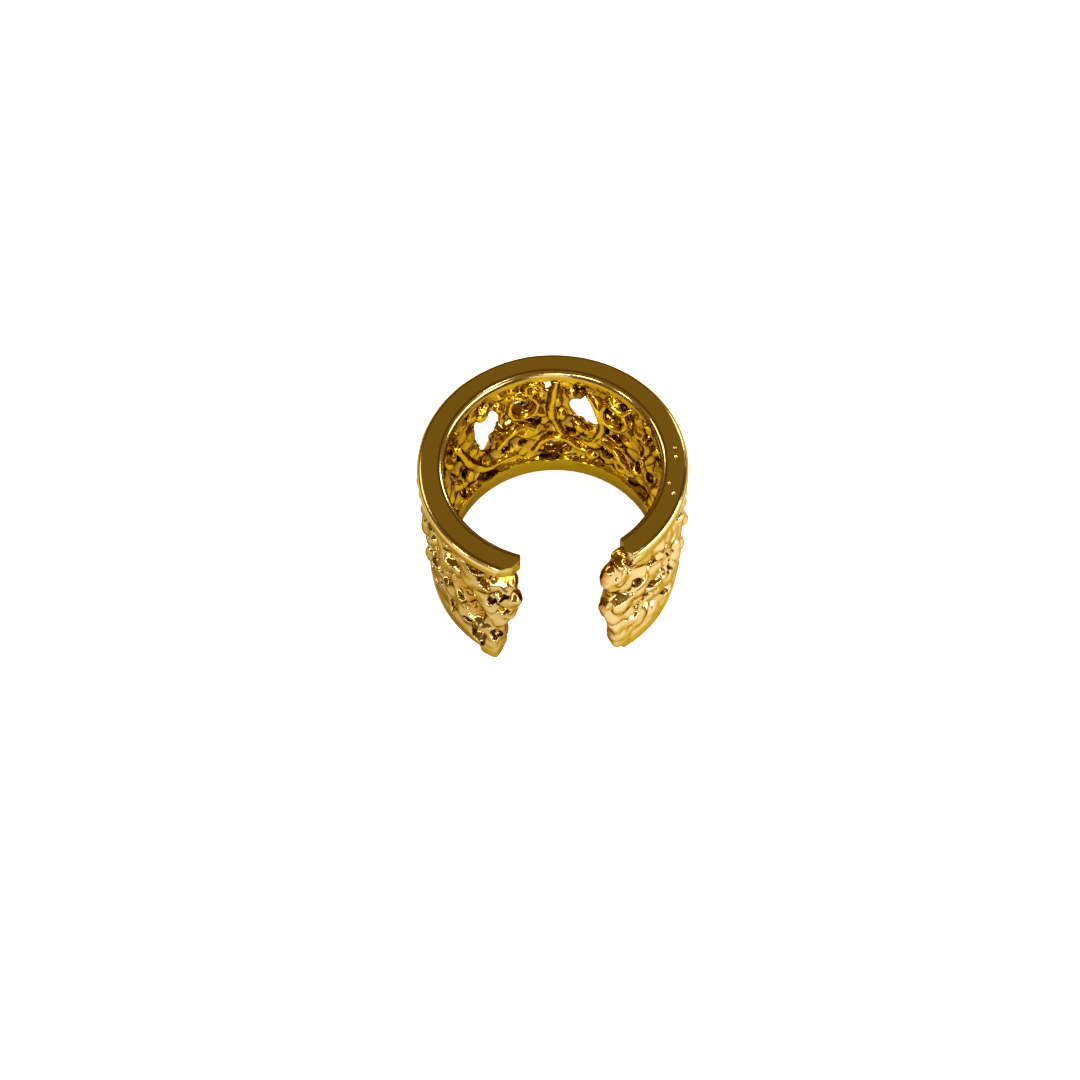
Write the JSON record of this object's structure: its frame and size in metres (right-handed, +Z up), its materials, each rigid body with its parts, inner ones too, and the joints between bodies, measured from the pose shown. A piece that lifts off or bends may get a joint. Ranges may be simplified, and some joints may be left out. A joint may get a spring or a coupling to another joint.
{
  "type": "ear cuff",
  "caption": "Open cast ear cuff: two smooth rails joined by a pierced, lumpy openwork band of rings, scrolls and lobes.",
  "frame": {"origin": "centre of the bounding box at its base, where the lower rail rests", "axes": "+Z up along the band's axis, -Y out of the open side, +X to the right of someone who looks in at the open side"},
  "size_m": [0.0122, 0.0118, 0.0083],
  "materials": {
    "gold": "polished gold plate on a casting"
  },
  "bodies": {
    "root": {"cuff_casting": "gold"}
  },
  "joints": []
}
